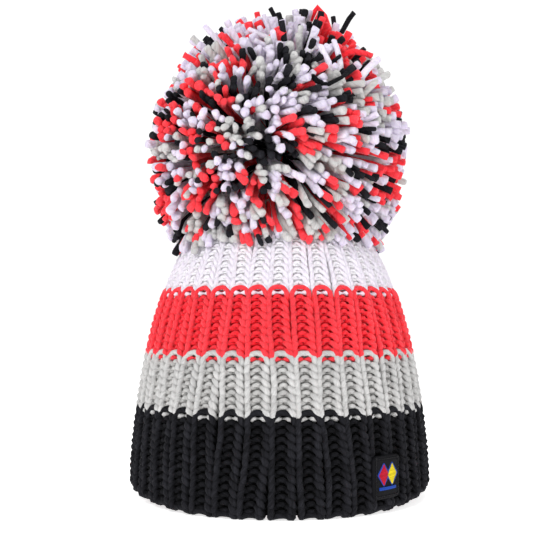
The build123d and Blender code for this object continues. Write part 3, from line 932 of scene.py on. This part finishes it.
def makePompom():
    rng = np.random.default_rng(pompom["seed"])
    controls, aim = strandControls(rng)
    count = len(controls)
    tips = controls[:, -1]
    names = list(pompom["share"])
    seeds = rng.choice(count, pompom["patches"], replace=False)
    seedColour = rng.choice(len(names), pompom["patches"], p=list(pompom["share"].values()))
    # more of the white shows on top
    seedColour[(rng.random(pompom["patches"]) < 0.5 * smoothStep(aim[seeds, 2], 0.3, 0.8))] = 0
    nearest = ((tips[:, None] - tips[seeds][None]) ** 2).sum(2).argmin(1)
    colour = seedColour[nearest]
    rings = pompom["rings"]
    ends = np.linspace(0, 1, rings)
    ends[-4:] = [0.88, 0.945, 0.982, 1.0]
    paths = np.einsum("sc,ncd->nsd", smoothBasis(len(pompom["stations"]), rings * 2), controls)
    paths = resample(paths, ends)
    wild = [(names.index(stray[0]), np.array(stray[1:]) * mm + ball["centre"]) for stray in strays]
    wildPaths = resample(np.stack([smoothBasis(len(line), rings * 3) @ line for _, line in wild]), ends)
    paths = np.concatenate([paths, wildPaths])
    colour = np.concatenate([colour, [number for number, _ in wild]])
    aim = np.concatenate([aim, unit(wildPaths[:, -1] - ball["centre"])])
    tips = paths[:, -1]
    isWild = np.arange(len(paths)) >= count
    low = (aim[:, 2] < pompom["skirt"]) & ~isWild
    sideways = np.abs(tips[:, 0]) > np.abs(tips[:, 1])
    groups = {"": ~low, "SkirtSide": low & sideways, "SkirtFront": low & ~sideways}
    for number, (name, node) in enumerate(zip(names, yarnNodes)):
        for group, chosen in groups.items():
            pick = np.flatnonzero(chosen & (colour == number))
            size = pompom["thick"][name] * mm * np.clip(rng.normal(1, 0.09, len(pick)), 0.75, 1.25)
            radii = strandRadii(size, rings, rng)
            loose = isWild[pick]
            radii[loose] = (size[loose] * 0.88)[:, None] * rng.normal(1, 0.03, (loose.sum(), rings))
            pressed = np.interp(np.linspace(0, 1, rings), [0, 0.6, 1], [0.1, 0.22, 0.42])
            flat = 1 - rng.random((len(pick), 1)) * pressed[None]
            side = unit(np.cross(aim[pick], rng.normal(0, 1, (len(pick), 3))))
            upward = np.broadcast_to(side[:, None], paths[pick].shape)
            title = "pompom" + name[0].upper() + name[1:-4] + group
            tones = rng.random(len(pick))
            # painted shade: each strand is painted in its recess colour at the tie, blending to its own
            # colour at the cut end (painted light at the roots for the white strands)
            paintedLight = np.interp(np.linspace(0, 1, rings), [0, 0.35, 0.75, 1], [0.0, 0.25, 0.75, 1.0])
            shape = {**pompom["shape"], "flat": flat, "seed": 30 + number, "paintedLight": paintedLight[None]}
            mesh = tubeMesh(title, paths[pick], radii, upward, pompom["sides"], tones, **shape)
            piece = place(title, mesh, yarns[name], yarnLook[name]["slot"], None, [node])
            if group == "SkirtSide":
                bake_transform(piece)
            elif group == "SkirtFront":
                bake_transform(piece)
            else:
                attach(piece, "pompom")
        print(name, "strands", int((colour == number).sum()))


def resample(paths, shares):
    # moves each path's rings to these shares of its own length
    length = lengthAlong(paths)
    result = np.empty((len(paths), len(shares), 3))
    for number, path in enumerate(paths):
        want = np.asarray(shares) * length[number, -1]
        for axis in range(3):
            result[number, :, axis] = np.interp(want, length[number], path[:, axis])
    return result


makePompom()
print("pom pom ready")

# cloth and thread

clothLook = {
    "fleece": {
        "color": (0.012, 0.012, 0.014), "second": (0.026, 0.026, 0.030),
        "grain": 900, "bump": 0.0009, "sheen": 0.5, "slot": "fleece",
    },
    "labelCloth": {
        "color": (0.0015, 0.0015, 0.0020), "second": (0.0075, 0.0075, 0.0100),
        "weave": 0.00050, "bump": 0.00015, "sheen": 0.0, "slot": "label_cloth",
    },
    "satin": {
        "color": (0.80, 0.80, 0.79), "second": (0.92, 0.92, 0.91),
        "weave": 0.00030, "bump": 0.00005, "sheen": 0.3, "slot": "care_label_satin",
    },
}
threadLook = {
    "blackThread": {"color": (0.012, 0.012, 0.014), "slot": "black_thread"},
    "redThread": {"color": (0.62, 0.006, 0.030), "slot": "red_thread"},
    "yellowThread": {"color": (0.92, 0.74, 0.010), "slot": "yellow_thread"},
    "blueThread": {"color": (0.008, 0.070, 0.46), "slot": "blue_thread"},
}


def threadMaterial(name):
    look = threadLook[name]
    material, nodes, links, shader, sums = newMaterial(name, 0.5)
    _, roundThread, alongThread = flatPlace(nodes, links, "yarn")
    wound = sums("ADD", sums("MULTIPLY", alongThread, 1400), roundThread)
    plies = sums("SINE", sums("MULTIPLY", wound, 4 * math.pi))
    shade = sums("ADD", sums("MULTIPLY", pointValue(nodes, "tone"), 0.35), 0.80)
    # the ply grooves are painted darker, in step with the bump: painted shade
    shade = sums("ADD", shade, sums("MULTIPLY", plies, 0.12))
    painted = blendColours(nodes, links, 1.0, look["color"], shade, "MULTIPLY")
    links.new(painted, shader.inputs["Base Color"])
    raised(nodes, links, shader, plies, 0.00006)
    return material


def clothMaterial(name):
    look = clothLook[name]
    material, nodes, links, shader, sums = newMaterial(name, 0.9 if "grain" in look else 0.6)
    shader.inputs["Specular IOR Level"].default_value = 0.12
    shader.inputs["Sheen Weight"].default_value = look["sheen"]
    spot, sideways, upward = flatPlace(nodes, links, "cloth")
    noise = nodes.new("ShaderNodeTexNoise")
    noise.inputs["Scale"].default_value = look.get("grain", 2600)
    noise.inputs["Detail"].default_value = 5
    links.new(spot, noise.inputs[0])
    height = noise.outputs[0]
    if "weave" in look:
        # a twill: diagonal lines of floats, crossed by the weft
        across = sums("MULTIPLY", sideways, 2 * math.pi / look["weave"])
        along = sums("MULTIPLY", upward, 2 * math.pi / look["weave"])
        diagonal = sums("SINE", sums("ADD", across, along))
        weft = sums("SINE", sums("MULTIPLY", across, 3))
        lines = sums("ADD", diagonal, sums("MULTIPLY", weft, 0.4))
        lines = sums("ADD", sums("MULTIPLY", lines, 0.3), 0.5)
        height = sums("ADD", lines, sums("MULTIPLY", noise.outputs[0], 0.3))
    # the colour follows the height: on the woven cloths the floats' tops are painted lighter than the
    # grooves between them, a painted shade; on the fleece it is its grain
    painted = blendColours(nodes, links, height, look["color"], look["second"])
    links.new(painted, shader.inputs["Base Color"])
    raised(nodes, links, shader, height, look["bump"])
    return material


threads = {name: threadMaterial(name) for name in threadLook}
cloths = {name: clothMaterial(name) for name in clothLook}


def threadPiece(name, paths, radius, thread, node, body="hat", upward=(0, 0, 1), sides=6, seed=50):
    # paths is one array (threads, points, 3)
    paths = np.asarray(paths, float)
    radii = np.broadcast_to(np.asarray(radius, float).reshape(-1, 1), paths.shape[:2]).copy()
    up = np.broadcast_to(np.asarray(upward, float), paths.shape)
    tones = np.random.default_rng(seed).random(len(paths))
    mesh = tubeMesh(name, paths, radii, up, sides, tones, seed=seed, bulge=0.5)
    material = threads.get(thread) or yarns[thread]
    slot = (threadLook.get(thread) or yarnLook[thread])["slot"]
    return place(name, mesh, material, slot, body, [node])


def clothGrid(name, front, back, closed=False):
    # front and back are (rows, columns, 3) faces of one piece; closed joins its first and last columns
    rows, columns = front.shape[:2]
    size = rows * columns
    points = np.concatenate([front.reshape(-1, 3), back.reshape(-1, 3)])
    faces = []
    uvs = []
    stepU = np.linalg.norm(np.diff(front[rows // 2], axis=0), axis=1).mean()
    stepV = np.linalg.norm(np.diff(front[:, columns // 2], axis=0), axis=1).mean()
    for i in range(rows - 1):
        for j in range(columns if closed else columns - 1):
            k = (j + 1) % columns
            quad = (i * columns + j, i * columns + k, (i + 1) * columns + k, (i + 1) * columns + j)
            corners = [(j, i), (j + 1, i), (j + 1, i + 1), (j, i + 1)]
            faces += [quad, tuple(value + size for value in reversed(quad))]
            uvs += [corners, corners[::-1]]
    border = [(0, j, 0, j + 1) for j in range(columns if closed else columns - 1)]
    border += [(rows - 1, j + 1, rows - 1, j) for j in range(columns if closed else columns - 1)]
    if not closed:
        border += [(i, columns - 1, i + 1, columns - 1) for i in range(rows - 1)]
        border += [(i + 1, 0, i, 0) for i in range(rows - 1)]
    for i, j, m, n in border:
        a = i * columns + j % columns
        b = m * columns + n % columns
        faces.append((b, a, a + size, b + size))
        uvs.append([(n, m), (j, i), (j, i + 0.3), (n, m + 0.3)])
    mesh = bpy.data.meshes.new(name)
    mesh.from_pydata(points.tolist(), [], faces)
    mesh.polygons.foreach_set("use_smooth", np.ones(len(mesh.polygons), bool))
    flat = np.array([corner for face in uvs for corner in face], float) * [stepU, stepV]
    setUv(mesh, "cloth", flat)
    return mesh


# the woven label on the brim

label = {
    "proud": 0.0006,  # past the patch's own edge
    "puff": 0.0011,
    "edge": 0.0016,
    "columns": 30,
    "rows": 36,
    "inset": 0.0017,  # its stitches, from its edge
    "thread": 0.00026,
    "satinPitch": 0.00042,
    "outlineThread": 0.00022,
    "motifScale": 1.30,
}
labelPoints = nodePoints("woven_label")
labelTurn = math.atan2(*(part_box("woven_label")[0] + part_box("woven_label")[1]).yx)
labelOut = np.array([math.cos(labelTurn), math.sin(labelTurn), 0])
labelSide = np.array([-math.sin(labelTurn), math.cos(labelTurn), 0])
labelUp = np.array([0, 0, 1.0])
labelLow = np.array([(labelPoints @ axis).min() for axis in (labelSide, labelUp, labelOut)])
labelHigh = np.array([(labelPoints @ axis).max() for axis in (labelSide, labelUp, labelOut)])
labelMid = (labelLow + labelHigh) / 2
labelHalf = (labelHigh - labelLow) / 2


def onLabel(across, up, out):
    # a place on the label: sideways and up from its middle, and out from its front, as shares or metres
    side = labelMid[0] + across
    height = labelMid[1] + up
    front = labelHigh[2] + out - 0.35 * (across / labelHalf[0]) ** 2 * 0.0012
    return side[..., None] * labelSide + height[..., None] * labelUp + front[..., None] * labelOut


def makeLabel():
    u = np.linspace(-1, 1, label["columns"])[None]
    v = np.linspace(-1, 1, label["rows"])[:, None]
    corner = np.maximum(np.abs(u) ** 8 + np.abs(v) ** 8, 1e-9) ** (1 / 8)
    pull = 1 / np.maximum(1, corner)
    half = labelHalf + label["proud"]
    across, up = u * pull * half[0], v * pull * half[1]
    edge = np.minimum(half[0] - np.abs(across), half[1] - np.abs(up))
    round_ = np.sqrt(np.clip(1 - (1 - np.clip(edge / label["edge"], 0, 1)) ** 2, 0, 1))
    rng = np.random.default_rng(61)
    stitched = 0.35 * np.exp(-(((edge - label["inset"]) / 0.0005) ** 2))
    front = label["puff"] * (round_ * 0.75 + 0.25 * (1 - u**2) * (1 - v**2) - stitched)
    front = front + rng.normal(0, 0.00002, front.shape)
    back = np.full_like(front, -labelHalf[2] * 2 + 0.0001)
    mesh = clothGrid("labelPatch", onLabel(across, up, front), onLabel(across, up, back))
    piece = place("labelPatch", mesh, cloths["labelCloth"], "label_cloth", "hat", ["woven_label"])


def edgeStitches():
    # short stitches all round, just inside the label's edge
    half = labelHalf[:2] + label["proud"] - label["inset"]
    paths = []
    for sign in (-1, 1):
        for start in np.arange(-half[0], half[0], 0.0018):
            paths.append([(start + t * 0.0014, sign * half[1]) for t in (0, 0.3, 0.7, 1)])
        for start in np.arange(-half[1], half[1], 0.0018):
            paths.append([(sign * half[0], start + t * 0.0014) for t in (0, 0.3, 0.7, 1)])
    flat = np.array(paths)
    out = np.array([-0.0001, 0.00045, 0.00045, -0.0001])[None] + label["puff"] * 0.5
    return onLabel(flat[..., 0], flat[..., 1], np.broadcast_to(out, flat.shape[:2]))


def satinShape(node, grow, slant, out):
    # rows of satin stitches that fill the shape of a node, widened a little
    cloud = nodePoints(node)
    side, height = cloud @ labelSide - labelMid[0], cloud @ labelUp - labelMid[1]
    middle = np.array([(side.min() + side.max()) / 2, (height.min() + height.max()) / 2])
    half = np.array([side.max() - side.min(), height.max() - height.min()]) / 2 * grow
    diamond = half[1] > half[0]
    pitch = label["satinPitch"]
    t = np.linspace(-1, 1, 6)
    paths = []
    for level in np.arange(-half[1] + pitch / 2, half[1], pitch):
        reach = half[0] * (1 - abs(level) / half[1]) if diamond else half[0]
        if reach < pitch * 0.6:
            continue
        up = middle[1] + level + slant * reach * t
        paths.append(np.stack([middle[0] + reach * t, up, out + 0.00045 * (1 - t**4)], -1))
    flat = np.array(paths)
    return onLabel(flat[..., 0], flat[..., 1], flat[..., 2]), middle, half


def outlineThread(middle, half, grow, out, strands):
    # a rope of short stitches round a diamond
    corners = np.array([(0, 1), (1, 0), (0, -1), (-1, 0), (0, 1)]) * (half + grow)
    along = lengthAlong(corners)
    spots = np.linspace(0, along[-1], strands, endpoint=False)
    x = np.interp(spots, along, corners[:, 0])
    y = np.interp(spots, along, corners[:, 1])
    side = np.stack([np.sign(x) + 0.3, np.sign(y) + 0.3], 1) * 0.00042
    t = np.array([-1, -0.4, 0.4, 1])[None, :, None]
    flat = middle + np.stack([x, y], 1)[:, None] + side[:, None] * t
    rise = out + 0.0004 * (1 - t[..., 0] ** 4)
    return onLabel(flat[..., 0], flat[..., 1], np.broadcast_to(rise, flat.shape[:2]))


def labelThread(name, paths, thread, node, radius=label["thread"]):
    threadPiece(name, paths, radius, thread, node, upward=labelOut)


makeLabel()
labelThread("labelEdgeStitches", edgeStitches(), "blackThread", "label_stitching")
motifOut = label["puff"] * 0.85
blue = []
for side, thread in (("red", "redThread"), ("yellow", "yellowThread")):
    stitches, middle, half = satinShape("label_motif_" + side, label["motifScale"], 0.12, motifOut)
    labelThread("labelMotif" + side.capitalize(), stitches, thread, "label_motif_" + side)
    blue.append(outlineThread(middle, half, 0.0002, motifOut - 0.0002, 72))
stitches, middle, half = satinShape("label_motif_blue", 1.05, 0.0, motifOut)
labelThread("labelMotifBar", stitches, "blueThread", "label_motif_blue")
outlines = np.concatenate(blue)
labelThread("labelMotifOutlines", outlines, "blueThread", "label_motif_blue", label["outlineThread"])
print("label ready")

# the fleece lining and its stitches

lining = {"around": 360, "up": 26, "lumps": 0.0005, "stitch": 0.0034, "gap": 0.0011, "thread": 0.00036}


def makeLining():
    low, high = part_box("fleece_lining")
    rng = np.random.default_rng(71)
    turn = np.linspace(0, 2 * math.pi, lining["around"], endpoint=False)[None]
    rows = np.linspace(0, 1, lining["up"])[:, None]
    height = low.z + (high.z - low.z) * rows
    cloud = nodePoints("fleece_lining")
    inner = np.hypot(cloud[:, 0], cloud[:, 1]).min()
    soft = np.zeros((lining["up"], lining["around"]))
    for _ in range(14):
        soft += np.sin(turn * rng.integers(8, 70) + rows * rng.normal(0, 14) + rng.random() * 6.3) / 14
    rounding = 1 - np.clip(np.minimum(rows, 1 - rows) / 0.05, 0, 1)
    threadRows = [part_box("lining_stitching")[0].z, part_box("lining_stitching")[1].z]
    pinch = sum(np.exp(-(((height - row) / 0.0016) ** 2)) for row in threadRows)
    face = inner + 0.0001 + lining["lumps"] * (soft + 0.4) + 0.0007 * rounding**2 + 0.0006 * pinch
    back = face + 0.0017 - 0.0009 * rounding**2
    mesh = clothGrid("liningCloth", roundAt(back, turn, height), roundAt(face, turn, height), closed=True)
    piece = place("liningCloth", mesh, cloths["fleece"], "fleece", "hat", ["fleece_lining"])
    return inner


def ringStitches(radius, height, count, length, rise, wobble, seed):
    # running stitches round a ring, each standing a little off the cloth on the inside
    rng = np.random.default_rng(seed)
    start = np.arange(count) * 2 * math.pi / count
    t = np.array([0, 0.2, 0.5, 0.8, 1.0])
    turn = start[:, None] + t[None] * length / radius
    r = radius - rise * np.sin(t * math.pi)[None] ** 0.6
    return roundAt(r, turn, height + rng.normal(0, 1, (count, 1)) * wobble)


liningInner = makeLining()
stitchLow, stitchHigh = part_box("lining_stitching")
count = int(2 * math.pi * liningInner / (lining["stitch"] + lining["gap"]))
stitchRows = []
for height in (stitchLow.z + 0.0005, stitchHigh.z - 0.0005):
    row = ringStitches(liningInner + 0.0009, height, count, lining["stitch"], 0.0009, 0.00012, 3)
    stitchRows.append(row)
stitchRows = np.concatenate(stitchRows)
threadPiece("liningStitches", stitchRows, lining["thread"], "blackThread", "lining_stitching")


# the hem is caught to the brim with slanting stitches

hemLow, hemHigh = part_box("hem_stitching")


def hemStitches():
    radius = hemHigh.x - 0.0008
    count = knit["ribs"] * 3
    start = np.arange(count) * 2 * math.pi / count
    t = np.linspace(0, 1, 6)
    turn = start[:, None] + t[None] * 0.038
    height = (hemLow.z + hemHigh.z) / 2 + 0.0016 * np.cos(t * math.pi)[None]
    return roundAt(radius - 0.0010 * np.sin(t * math.pi)[None], turn, height)


threadPiece("hemStitches", hemStitches(), 0.0007, "blackYarn", "hem_stitching")


# the seam up the back, overcast on the inside

def seamLine():
    cloud = nodePoints("back_seam")
    levels = np.linspace(cloud[:, 2].min() + 0.0005, cloud[:, 2].max() - 0.0005, 60)
    depth = []
    for z in levels:
        near = cloud[np.abs(cloud[:, 2] - z) < 0.006]
        depth.append((near[:, 1].min() + near[:, 1].max()) / 2)
    kernel = np.ones(7) / 7
    smooth = np.convolve(np.pad(depth, 3, mode="edge"), kernel, "valid")
    return np.stack([np.zeros(60), smooth, levels], 1)


def makeSeam():
    line = seamLine()
    length = lengthAlong(line)
    spots = np.arange(0.001, length[-1] - 0.001, 0.0030)
    middle = np.stack([np.interp(spots, length, line[:, axis]) for axis in range(3)], 1)
    t = np.linspace(0, 1, 7)
    side = -0.0019 * np.cos(t * math.pi)
    inward = -0.0011 * np.sin(t * math.pi)
    rise = 0.0026 * (t - 0.5)
    paths = middle[:, None] + np.stack([side, inward, rise], -1)[None]
    paths[:, :, 0] += np.random.default_rng(8).normal(0, 0.00012, (len(spots), 1))
    threadPiece("seamStitches", paths, 0.00075, "seamYarn", "back_seam", upward=(0, 1, 0))
    ridge = np.stack([line + [side, 0.0002, 0] for side in (-0.0009, 0.0009)])
    threadPiece("seamRidges", ridge, 0.0009, "seamYarn", "back_seam", upward=(0, 1, 0), sides=8, seed=51)


makeSeam()


# cords and knots that close the crown and hold the pom pom

def ringPath(radius, height, points=49, wave=0.0, waves=0, tilt=0.0):
    turn = np.linspace(0, 2 * math.pi, points)
    r = radius + wave * np.sin(turn * waves)
    return roundAt(r, turn, height + wave * np.cos(turn * waves) + tilt * np.cos(turn))


gatherLow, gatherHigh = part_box("crown_gather_yarn")
gatherTube = (gatherHigh.z - gatherLow.z) / 2
gather = ringPath(gatherHigh.x - gatherTube, (gatherLow.z + gatherHigh.z) / 2, 73, 0.0002, 12)
threadPiece("crownGather", [gather], gatherTube, "paintedLitCrownYarn", "crown_gather_yarn", sides=10)

cordLow, cordHigh = (np.array(corner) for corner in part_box("attachment_cord"))
cordRadius = (cordHigh[0] - cordLow[0]) / 2
t = np.linspace(0, 1, 41)
plies = []
for start in (0, math.pi):
    turn = start + t * 2 * math.pi * 2.2
    plies.append(roundAt(0.52 * cordRadius, turn, cordLow[2] + (cordHigh[2] - cordLow[2]) * t))
cordShape = {"upward": (1, 0, 0.01), "sides": 10}
threadPiece("attachmentCord", plies, cordRadius * 0.48, "tieCord", "attachment_cord", "neck", **cordShape)

turnRadius = (waistHigh[2] - waistLow[2]) / 6.4
coil = []
for number in range(3):
    height = waistLow[2] + turnRadius + number * (waistHigh[2] - waistLow[2] - 2 * turnRadius) / 2
    coil.append(ringPath(waistHigh[0] - turnRadius, height, 61, 0.0, 0, 0.0003 * (number - 1)))
threadPiece("bindingTurns", coil, turnRadius, "tieCord", "binding_cord", "pompom", sides=10)


def knotPaths(low, high, turns):
    # a round knot: strands that wind over one another inside the box
    middle, half = (low + high) / 2, (high - low) / 2
    paths = []
    t = np.linspace(0, 2 * math.pi, 49)
    for number in range(turns):
        a = number * math.pi / turns
        ring = np.stack([np.cos(t), np.sin(t) * np.cos(a * 1.3), np.sin(t) * np.sin(a * 1.3)], -1)
        twistTurn = np.array([[math.cos(a), -math.sin(a), 0], [math.sin(a), math.cos(a), 0], [0, 0, 1]])
        paths.append(middle + (ring @ twistTurn.T) * half * 0.66)
    return paths


for node, body, turns in (("binding_knot", "pompom", 4), ("anchor_knot", "hat", 5)):
    low, high = (np.array(corner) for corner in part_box(node))
    title = {"binding_knot": "bindingKnot", "anchor_knot": "anchorKnot"}[node]
    thick = 0.34 * (high - low).min() / 2
    threadPiece(title, knotPaths(low, high, turns), thick, "tieCord", node, body, sides=10)


# the care label inside, a satin ribbon that hangs and curls a little

careLow, careHigh = (np.array(corner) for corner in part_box("care_label"))


def makeCareLabel():
    across = np.linspace(careLow[0], careHigh[0], 22)[None]
    up = np.linspace(careHigh[2], careLow[2], 30)[:, None]
    hang = (careHigh[2] - up) / (careHigh[2] - careLow[2])
    middle = (careLow[1] + careHigh[1]) / 2
    curl = -0.0016 * hang**2 + 0.0005 * np.sin(across * 380) * hang
    front = np.stack([across + 0 * up, middle + curl - 0.00012 + 0 * up, up + 0 * across], -1)
    back = front + [0, 0.00024, 0]
    mesh = clothGrid("careRibbon", front, back)
    piece = place("careRibbon", mesh, cloths["satin"], "care_label_satin", "care_tag", ["care_label"])


makeCareLabel()
print("cloth and threads ready")
